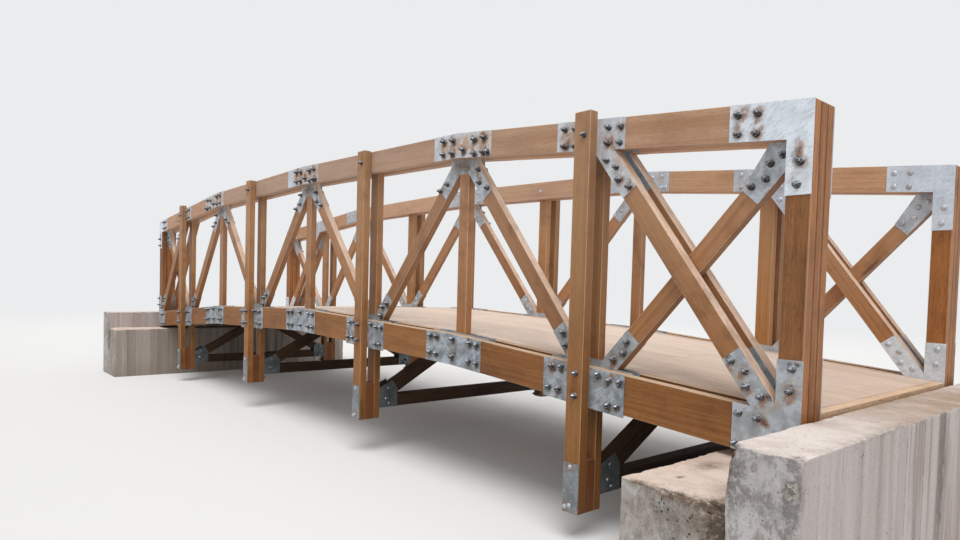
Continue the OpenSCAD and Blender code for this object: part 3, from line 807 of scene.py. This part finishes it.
all_bolts = chord_bolts + leg_only + post_bolts + tail_bolts

# Truss timber: planed, oiled boards. Each chord is two plies either side of a core, the end posts
# are three boards, and the web members stand in the core between steel gussets.
planed_edge = 0.0028
bolt_chance = random.Random(7)
age = {}
for b in all_bolts:
    age[b] = [bolt_chance.random() for _ in range(5)]


def marked_by(bolts, halo, reach, smears=()):
    """Stain of the bolts on points of a face: rust round each, dirt beside or below it, and a
    yellow bleed. A smear is its X, Z, half width, half height, lean, which stain and how strong."""
    found = []
    for b in bolts:
        old, lean, lift, broad, kind = age[b]
        ring = halo * (0.45 + 0.5 * old)
        found.append((b[0], b[1], ring, ring, 0.0, 0, 0.30 + 0.55 * old))
        if old > 0.35:
            turn = lean * 2 * math.pi
            found.append((b[0] + 0.020 * math.sin(turn), b[1] + 0.024 * math.cos(turn), 0.012 + 0.012 * broad,
                          0.018 + 0.022 * broad, lift - 0.5, 1 if kind > 0.55 else 0, 0.35 + 0.6 * old))
        found.append((b[0] + 0.02 * (lift - 0.5), b[1] + 0.02, 0.045, 0.060, 0.0, 2, 0.55 * broad))
        found.append((b[0], b[1] - reach * 0.6, 0.006, reach * 0.6, 0.0, 1, 0.4 * kind * old))
    found += smears

    def masks(points):
        out = np.zeros((len(points), 3))
        for cx, cz, rx, rz, lean, which, strength in found:
            dx, dz = points[:, 0] - cx, points[:, 2] - cz
            near = (np.abs(dx) < 0.13) & (np.abs(dz) < 0.13)
            if not near.any():
                continue
            u = dx[near] * math.cos(lean) + dz[near] * math.sin(lean)
            v = dz[near] * math.cos(lean) - dx[near] * math.sin(lean)
            out[near, which] = np.maximum(out[near, which], strength * np.exp(-(u / rx) ** 2 - (v / rz) ** 2))
        return out

    return masks


oiled = timber("oiled_hardwood", (174, 122, 70), (156, 102, 53), (112, 67, 31), (226, 198, 168),
               rings=120.0, faded=0.22)
web_wood = timber("oiled_brace_hardwood", (172, 120, 73), (153, 101, 55), (114, 68, 35),
                  (238, 212, 192), rings=110.0, faded=0.16)
chord_wood = timber("oiled_chord_hardwood", (157, 107, 58), (138, 87, 43), (97, 56, 26),
                    (216, 190, 164), rings=95.0, waver=0.02, dirt=0.22)
# end posts: faces turned along the bridge are drawn much lighter, as painted light
end_wood = timber("oiled_end_post_hardwood", (148, 101, 61), (130, 84, 48), (88, 53, 31),
                  (200, 168, 138), rings=110.0, dirt=0.40, drawn=0.6, inner_lift=1.6, painted_light_along=1.65)
rail_wood = timber("weathered_rail_hardwood", (212, 172, 141), (196, 152, 120), (156, 111, 80),
                   (222, 196, 174), rings=95.0, waver=0.02, dirt=0.10, gloss=(0.5, 0.72), middle=0.38,
                   inner_lift=1.15)
damp_block = timber("damp_end_block", (150, 92, 54), (128, 74, 41), (92, 50, 28), (150, 110, 80),
                    damp=0.2)
between = [(x + 0.006, height(low_line, x) - 0.085, 0.020, 0.055, 0.0, 2, 0.9) for x in posts]
post_marks = marked_by(post_bolts, 0.026, 0.12, between)
sides = ((-1, "near_"), (1, "far_"))
joins = (half_w - ply, half_w - 2 * ply)
dressed = (("bottom_chord", chord_wood, "chord_timber", ()), ("top_chord", rail_wood, "rail_timber", ()),
           ("end_posts", end_wood, "post_timber", joins), ("outer_posts", oiled, "post_timber", ()),
           ("centre_posts", oiled, "post_timber", ()), ("mid_posts", web_wood, "web_timber", ()),
           ("tail_spacers", damp_block, "block_timber", (half_w, half_w - ply)),
           ("web_diagonals", web_wood, "web_timber", ()), ("end_braces", web_wood, "web_timber", ()),
           ("paired_braces", web_wood, "web_timber", ()))
for number, (part_name, wood, slot, seams) in enumerate(dressed):
    for s, side_name in sides:
        chance = random.Random(100 + 2 * number + s)
        fine, marks = (0.016, post_marks) if part_name == "outer_posts" else (0.0, None)
        assemble(side_name + part_name + "_timber",
                 [board(bm, chance, planed_edge, fine, marks, seams) for bm in solids(side_name + part_name)],
                 wood, [side_name + part_name])
chance = random.Random(77)
cores = [board(bm, chance, planed_edge, seams=joins) for bm in solids("end_post_cores")]
assemble("end_post_core_timber", cores, end_wood, ["end_post_cores"])

# Steel plates: flame-cut flat plate, hot-dip galvanised, so their faces are cloudy pale grey and
# finely brushed. Low down they are duller and dirtier. Rusting bolts have left brown and dark
# smears beside them and a yellow bleed; at the top joints it has spread between the bolts.
plate_edge, mid_plane = 0.0007, half_w - 0.087
weather_side, sheltered = half_w - 0.083, 0.22
zinc, given = group("galvanised_face", Wash=0.5)
here, marks = where(zinc), of_mesh(zinc, "stain", "Vector").parts()
turned = pick(zinc, "VectorRotate", {"Vector": here, "Angle": 0.55, "Axis": (0, 1, 0)},
              rotation_type="AXIS_ANGLE")
drag = turned.cloud((38.0, 120.0, 150.0), 5.0, 0.74)
uneven = here.cloud(52.0, 5.0, 0.7)
soft = here.cloud(26.0, 6.0, 0.66).step(0.30, 0.70, 1.1, 0.15)
y, z = here.parts()[1:]
out_y = abs(y)
# Low is the weather side of the outer plates near the ground; the slot mask is 1 on faces that look into the
# slot between two gussets, which it darkens as painted shade; Lee is plates over the walkway side, up out of
# the splashes, still bluer.
give(zinc, Cloud=here.cloud(13.0, 6.0, 0.66), Drag=drag,
     Halo=(marks[0] * uneven.step(0.28, 0.68, 1.2, 0.35)).limited(),
     Dark=(marks[1] * uneven.step(0.62, 0.34, 1.3, 0.4)).limited(),
     Bleed=(marks[2] * soft * given.Wash).limited(), Spot=here.cloud(150.0, 3.0, 0.6).step(0.62, 0.72),
     Low=z.step(1.45, 1.05) * out_y.step(0.86, 0.90, 1.0, 0.25),
     Inside=abs(out_y - mid_plane).step(0.0282, 0.0262),
     Lee=out_y.step(0.85, 0.81) * z.step(1.3, 1.6, 0.28), Height=drag * 0.5 + here.cloud(320.0, 2.0) * 0.35)


def galvanised(name, pale, mid, dull, low_pale, low_mid, wash=0.5, yellow=(186, 160, 124)):
    """Material of the galvanised plates, more or less stained."""
    made, tree = blank(name)
    face = use(tree, zinc, Wash=wash)
    low = layers(low_pale, (face.Cloud.step(0.40, 0.60), low_mid))
    tone = layers(pale, (face.Cloud.step(0.38, 0.64), mid), (face.Low, low),
                  (face.Lee, (176, 188, 206), "MULTIPLY"), (face.Drag.step(0.47, 0.66, 0.45), dull),
                  (face.Drag.step(0.45, 0.30, 0.30), (240, 244, 250)), (face.Spot * 0.22, (112, 108, 102)),
                  (face.Bleed * 0.85, yellow), (face.Halo.step(0.06, 0.55, 0.74), (156, 110, 76)),
                  (face.Halo.step(0.55, 1.0, 0.8), (104, 68, 46)),
                  # the last coat is painted shade on faces inside the slot between two gussets
                  (face.Dark.step(0.12, 0.85, 0.88), (62, 52, 43)), (face.Inside * 0.15, (74, 70, 66)))
    dirty = calc("MAXIMUM", face.Halo, calc("MAXIMUM", face.Dark, face.Bleed))
    rough = (dirty * 0.35 + face.Cloud.step(0.3, 0.7, 0.58, 0.40)).limited()
    return surface(made, tone, rough, face.Height, 0.0007, 0.6, Metallic=dirty.step(0.05, 0.6, 0.02, 0.30))


outer_zinc = galvanised("galvanised_plate", (236, 243, 252), (218, 226, 236), (154, 163, 176),
                        (190, 198, 207), (160, 167, 173))
splice_zinc = galvanised("grimy_splice_plate", (200, 207, 216), (162, 169, 178), (102, 108, 115),
                         (184, 193, 204), (134, 141, 148), 0.8, (146, 134, 112))
rail_zinc = galvanised("rust_washed_plate", (218, 224, 232), (198, 204, 212), (146, 152, 160),
                       (170, 176, 182), (146, 150, 152), 1.7, (190, 158, 134))
tail_zinc = galvanised("dull_tail_plate", (176, 184, 190), (150, 156, 160), (112, 118, 124),
                       (148, 155, 160), (124, 129, 132), 0.3)
inner_zinc = galvanised("galvanised_gusset", (204, 212, 222), (168, 174, 181), (112, 118, 124),
                        (180, 187, 194), (150, 155, 158), 1.2, (142, 126, 110))


def plate(bm, marks, lining):
    """A cut plate with its edges broken and the stains of its bolts, few on the sheltered side. Its
    face against the timber stays plain: on the side toward the truss's middle plane, but on the
    other side for plates that line the slot between two braces."""
    mid, along, across, through = lie(bm)
    for way in (along, across):
        chop(bm, mid, way, 0.015 if lining else 0.0103)
    ease(bm, plate_edge, 1)
    bm.normal_update()
    outward = math.copysign(1, mid.y) * math.copysign(1, abs(mid.y) - mid_plane)
    covered = outward if lining else -outward
    bmesh.ops.dissolve_faces(bm, faces=[f for f in bm.faces if f.normal.y * covered > 0.9])
    share = 1.0 if abs(mid.y) > weather_side else sheltered
    return bm, {"stain": marks(np.array([v.co for v in bm.verts])) * share}, {}


# smears beside the bolts of a corner: dark (1), brown (0) and yellow (2)
corner_smears = [(4.190, 1.815, 0.016, 0.040, 0.1, 0, 1.0), (4.165, 1.705, 0.016, 0.028, 0.0, 2, 1.6),
                 (4.168, 1.700, 0.010, 0.018, 0.0, 1, 0.7), (4.206, 1.000, 0.034, 0.010, 0.0, 1, 1.0),
                 (4.203, 0.940, 0.022, 0.030, 0.0, 2, 1.5), (4.200, 0.915, 0.016, 0.010, 0.0, 1, 0.9),
                 (4.112, 0.862, 0.020, 0.012, -0.6, 1, 1.2), (4.150, 0.835, 0.025, 0.018, 0.0, 2, 1.5),
                 (4.100, 0.758, 0.022, 0.014, -0.7, 0, 1.3), (4.108, 0.750, 0.016, 0.010, -0.7, 1, 0.9),
                 (4.100, 0.800, 0.030, 0.024, 0.0, 2, 1.3), (3.985, 0.925, 0.020, 0.050, 0.5, 2, 1.4),
                 (3.935, 1.000, 0.020, 0.016, 0.5, 1, 0.9), (4.035, 0.868, 0.016, 0.014, 0.0, 0, 1.0)]
corner_smears += [(-x, *rest) for x, *rest in corner_smears]
splice_washes = [(x + dx, height(high_line, x) - 0.078, 0.075, 0.050, 0.0, 2, 1.2) for x in uprights
                 for dx in (-0.10, 0.0, 0.08, 0.16, 0.24)]
splice_washes += [(s * 3.04, 2.03, 0.07, 0.05, 0.0, 2, 1.2) for s in (-1, 1)]
apex_washes = [(x, height(high_line, x) - 0.19, 0.12, 0.055, 0.0, which, amount) for x in uprights
               for which, amount in ((2, 1.4), (1, 0.6))]
# the lower bolts: a dark smear just below each nut, partly grime where splashes dry and partly painted shadow
# of the nut, and a yellow bleed below it
low_bolts = [b for b in chord_bolts + leg_only if b[1] < 1.35 and abs(b[0]) < 3.9]
foot_grime_and_shadow = [(b[0] + 0.02 * (age[b][1] - 0.5), b[1] - 0.013, 0.025, 0.022, age[b][2] - 0.5, 1,
               0.8 + 0.9 * age[b][3]) for b in low_bolts]
foot_grime_and_shadow += [(b[0] + 0.02 * (age[b][2] - 0.5), b[1] - 0.03, 0.05, 0.03, age[b][1] - 0.5, 2,
                1.1 * age[b][2]) for b in low_bolts]
corner_smears += [(s * x, z, r, r, 0.0, 2, 1.3) for s in (-1, 1) for x, z, r in
                  ((3.235, 2.00, 0.07), (3.25, 1.90, 0.06), (3.33, 1.81, 0.06), (3.40, 1.72, 0.03))]
for b in chord_bolts:
    if b[1] > 1.95 and min(abs(b[0] - x) for x in uprights) < 0.35:
        old, lean = age[b][:2]
        splice_washes += [(b[0] + 0.012 * lean, b[1] - 0.014, 0.026, 0.014 + 0.012 * old, lean - 0.5, 1, 1.5),
                          (b[0] - 0.014, b[1] + 0.014 * lean, 0.016, 0.022, lean, 0, 1.1)]
for kind, metal, slot, bolts, smears in (
        ("bottom_plates", splice_zinc, "outer_plate", chord_bolts, foot_grime_and_shadow),
        ("top_plates", rail_zinc, "outer_plate", chord_bolts, splice_washes),
        ("corner_plates", outer_zinc, "outer_plate", chord_bolts, corner_smears),
        ("tail_plates", tail_zinc, "outer_plate", tail_bolts, ()),
        ("heel_gussets", inner_zinc, "inner_plate", leg_only, foot_grime_and_shadow),
        ("apex_gussets", inner_zinc, "inner_plate", leg_only, apex_washes),
        ("inner_plates", inner_zinc, "inner_plate", leg_only, ())):
    marks = marked_by(bolts, 0.030, 0.05, list(smears))
    for side_name in ("near_", "far_"):
        assemble(side_name + kind + "_steel",
                 [plate(bm, marks, kind == "inner_plates") for bm in solids(side_name + kind)],
                 metal, [side_name + kind])

# Bolts: 16 mm galvanised bolts through every joint. Outside shows a round washer, a hexagon nut and
# the threaded end; inside, and outside on the tails, shows a low domed head. Most have begun to rust.
hex_r = 0.0120
washer_sides, nut_sides, head_sides = 18, 12, 14


def lathe(bm, origin, axis, spin, rings, sides, closed=True):
    """Skin of rings about an axis; a ring is its height, its radius and how much of a hexagon it is."""
    axis = Vector(axis)
    u = axis.orthogonal().normalized()
    w = axis.cross(u)
    rows = []
    for h, r, six in rings:
        row = []
        for i in range(sides):
            a = 2 * math.pi * i / sides
            flat_r = r / math.cos((a % (math.pi / 3)) - math.pi / 6)
            rr = r * (1 - six) + flat_r * six
            out = u * math.cos(a + spin) + w * math.sin(a + spin)
            row.append(bm.verts.new(origin + axis * h + out * rr))
        rows.append(row)
    for a, b in zip(rows, rows[1:]):
        for i in range(sides):
            bm.faces.new((a[i], a[(i + 1) % sides], b[(i + 1) % sides], b[i]))
    if closed:
        bm.faces.new(rows[-1])


washer_rings = [(0, .0160, 0), (.0020, .0160, 0), (.0028, .0150, 0), (.0028, hex_r, 0)]
nut_rings = [(.0026, hex_r * 1.02, 1), (.0036, hex_r * 1.05, 1), (.0146, hex_r * 1.05, 1), (.0160, hex_r, .5),
             (.0162, .0084, 0)]
thread_rings = [(.0160, .0076, 0)]
for k in range(4):
    thread_rings += [(.0176 + .0032 * k, .0085, 0), (.0192 + .0032 * k, .0075, 0)]
thread_rings += [(.0302, .0082, 0), (.0314, .0062, 0)]
head_rings = [(0, .0165, 0), (.0016, .0164, 0), (.0034, .0148, 0), (.0060, .0118, 0), (.0078, .0074, 0),
              (.0084, .0024, 0)]


def nut(bm, origin, axis, spin):
    """Washer, nut and threaded end; returns how many points they have."""
    lathe(bm, origin, axis, spin, washer_rings, washer_sides, False)
    lathe(bm, origin, axis, spin, nut_rings, nut_sides, False)
    lathe(bm, origin, axis, spin, thread_rings, nut_sides)
    return washer_sides * len(washer_rings) + nut_sides * (len(nut_rings) + len(thread_rings))


def head(bm, origin, axis, size):
    """Low domed head; returns how many points it has."""
    lathe(bm, origin, axis, 0.0, [(h, r * size, six) for h, r, six in head_rings], head_sides)
    return head_sides * len(head_rings)


steel, tree = blank("rusting_bolt_steel")
fleck = where(tree).cloud(140.0, 4.0, 0.65)
rust = (of_mesh(tree, "rusted") * 0.28 + fleck).step(0.60, 0.84)
# painted highlight on the upper faces and painted shade on the undersides of each nut
up = faced(tree)[2]
tone = layers((164, 168, 174), (fleck.step(0.35, 0.65), (84, 86, 88)), (rust * 0.85, (58, 43, 34)),
              (up.step(0.05, -0.6, 0.75), (40, 34, 30)), (up.step(0.1, 0.8, 0.6), (214, 222, 232)))
surface(steel, tone, rust.step(0.0, 1.0, 0.8, 0.28), fleck, 0.0006, 0.5,
        Metallic=rust.step(0.0, 1.0, 0.1, 0.85))
bright, tree = blank("galvanised_bolt_head")
fleck = where(tree).cloud(90.0, 3.0, 0.6)
tone = layers((206, 212, 218), (fleck.step(0.35, 0.65), (170, 175, 181)),
              (of_mesh(tree, "rusted").step(0.85, 1.0) * 0.4, (130, 96, 70)))
surface(bright, tone, fleck.step(0.3, 0.7, 0.5, 0.30), Metallic=0.30)

for s, side_name in sides:
    nuts, heads, chance = bmesh.new(), bmesh.new(), random.Random(300 + s)
    nut_ages, head_ages = [], []
    for b in all_bolts:
        x, z, outer, inner = b
        outside = (Vector((x, s * (half_w - outer), z)), (0, s, 0))
        inside = (Vector((x, s * (half_w - inner), z)), (0, -s, 0))
        on_tail = b in tail_bolts
        at_nut, at_head = (inside, outside) if on_tail else (outside, inside)
        nut_ages += [age[b][0]] * nut(nuts, *at_nut, chance.uniform(0, 1))
        head_ages += [age[b][0]] * head(heads, *at_head, 0.82 if on_tail else 1.0)
    for bm, label, metal, ages in ((nuts, "nuts", steel, nut_ages), (heads, "heads", bright, head_ages)):
        bmesh.ops.recalc_face_normals(bm, faces=bm.faces[:])
        assemble(side_name + "bolt_" + label, [(bm, {"rusted": ages}, {})], metal, [],
                 smooth=label == "heads")

# Sway brackets: folded and welded steel shoes that hold the raking brace and the tie to the foot of
# a hanging post, galvanised, dull and splashed with mud, with three bolts through their cheeks.
muddy_zinc = galvanised("muddy_galvanised_bracket", (110, 118, 122), (88, 94, 96), (64, 66, 66),
                        (100, 108, 112), (74, 79, 80), 0.6, (96, 80, 62))
tie_rise, cheek = 0.075, 0.050
brackets = []
for bm in solids("sway_brackets"):
    ease(bm, plate_edge, 1)
    brackets.append((bm, {"stain": np.zeros((len(bm.verts), 3))}, {}))
assemble("sway_bracket_steel", brackets, muddy_zinc, ["sway_brackets"])
bm, chance, ages = bmesh.new(), random.Random(9), []
for x in posts:
    tie_z = height(low_line, x) - post_len + tie_rise
    for s in (-1, 1):
        for inward, rise in ((0.071, 0.140), (0.053, 0.062), (0.082, 0.024)):
            for side in (-1, 1):
                spot_at = Vector((x + side * cheek, s * (half_w - 2 * ply - inward), tie_z + rise))
                if side * x < 0:
                    points = nut(bm, spot_at, (side, 0, 0), chance.uniform(0, 1))
                else:
                    points = head(bm, spot_at, (side, 0, 0), 0.78)
                ages += [0.3 * chance.random()] * points
bmesh.ops.recalc_face_normals(bm, faces=bm.faces[:])
assemble("sway_bracket_bolts", [(bm, {"rusted": ages}, {})], steel, [])

# Deck: planks side by side along the bridge, each bay butted over a floor beam, with one cross
# board at either end. Rain and sun have bleached the top to a pale pinkish tan, and feet have
# brought soil onto it at both ends.
deck_half, deck_t, plank_count, plank_gap = 0.800, 0.038, 12, 0.003
deck_edge, end_edge = 0.0030, 0.0040
bleached = timber("bleached_deck_planks", (228, 208, 193), (216, 192, 174), (166, 130, 104),
                  (240, 225, 213), rings=80.0, waver=0.02, bleach=0.7, dirt=0.06, damp=0.0, gloss=(0.7, 0.9),
                  relief=0.0012, drawn=0.72, trodden=0.38)
end_plank = timber("worn_end_board", (216, 184, 154), (200, 164, 132), (150, 108, 74),
                   (226, 196, 170), rings=80.0, waver=0.02, bleach=0.7, dirt=0.3, damp=0.0, gloss=(0.7, 0.9),
                   relief=0.0016, drawn=0.8)


def plank(xs, y0, y1, chance):
    """One deck plank along the chord line, its long edges eased."""
    bm = bmesh.new()
    sink = chance.uniform(0.0, 0.0012)
    rows = []
    for x in xs:
        z = height(low_line, x) - sink
        section = ((y0, z), (y1, z), (y1, z - deck_t + sink), (y0, z - deck_t + sink))
        rows.append([bm.verts.new((x, y, at)) for y, at in section])
    for a, b in zip(rows, rows[1:]):
        for i in range(4):
            bm.faces.new((a[i], a[(i + 1) % 4], b[(i + 1) % 4], b[i]))
    bm.faces.new(rows[0][::-1])
    bm.faces.new(rows[-1])
    bmesh.ops.recalc_face_normals(bm, faces=bm.faces[:])
    return bm


chance, planks = random.Random(21), []
end_board, end_gap, half_gap = 0.045, 0.002, 0.001
end_x = half_len - end_board - end_gap
butts = [(x - half_gap, x + half_gap) for x in posts]
bays = ((-end_x, butts[0][0]), (butts[0][1], -quarter, butts[1][0]), (butts[1][1], 0, butts[2][0]),
        (butts[2][1], quarter, butts[3][0]), (butts[3][1], end_x))
pitch_y = 2 * deck_half / plank_count
for xs in bays:
    for k in range(plank_count):
        y0 = -deck_half + k * pitch_y + (plank_gap / 2 if k else 0)
        y1 = -deck_half + (k + 1) * pitch_y - (plank_gap / 2 if k < plank_count - 1 else 0)
        planks.append(board(plank(xs, y0, y1, chance), chance, deck_edge))
assemble("deck_planks", planks, bleached, ["deck_bays"])
end_boards = [board(bm, chance, end_edge) for bm in solids("end_boards")]
assemble("deck_end_boards", end_boards, end_plank, ["end_boards"])
